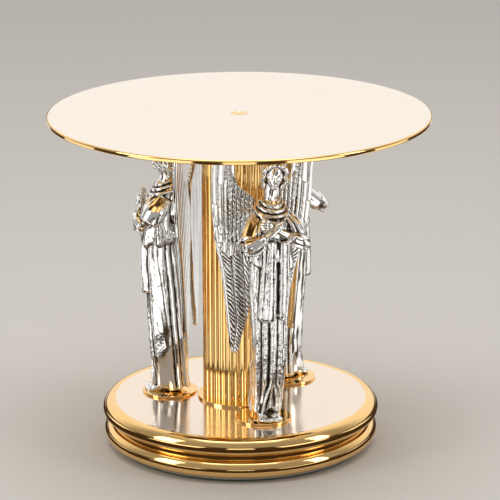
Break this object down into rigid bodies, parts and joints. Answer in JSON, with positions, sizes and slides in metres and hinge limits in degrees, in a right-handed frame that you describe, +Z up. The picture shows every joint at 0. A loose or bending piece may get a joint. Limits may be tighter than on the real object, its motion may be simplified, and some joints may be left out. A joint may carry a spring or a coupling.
{
  "type": "display stand",
  "caption": "Altar display stand: a flat round gilt plate on a fluted column with a heavy round base and winged silver figures standing round the column.",
  "frame": {"origin": "on the floor, at the centre of the round base", "axes": "+Z up along the column; -Y is the front, with the first figure turned towards +X by 18 degrees"},
  "size_m": [0.2, 0.2, 0.1785],
  "materials": {
    "gold": "gold-plated brass, mirror polished",
    "brass": "turned brass",
    "silver": "silver-plated casting, bright with darker hollows",
    "steel": "zinc-plated steel",
    "iron": "raw cast iron",
    "felt": "pressed wool felt"
  },
  "bodies": {
    "root": {"top_plate": "gold", "plate_screw": "gold", "column": "gold", "column_foot_ring": "gold", "base_shell": "gold", "angel_1_disc": "gold", "angel_2_disc": "gold", "angel_3_disc": "gold", "column_top_bush": "brass", "column_bottom_bush": "brass", "angel_1_figure": "silver", "angel_1_wing_left": "silver", "angel_1_wing_right": "silver", "angel_2_figure": "silver", "angel_2_wing_left": "silver", "angel_2_wing_right": "silver", "angel_3_figure": "silver", "angel_3_wing_left": "silver", "angel_3_wing_right": "silver", "tie_rod": "steel", "tie_rod_washer": "steel", "tie_rod_nut": "steel", "base_cover": "steel", "cover_screws": "steel", "figure_screws": "steel", "figure_washers": "steel", "base_ballast": "iron", "felt_pad": "felt"}
  },
  "joints": []
}
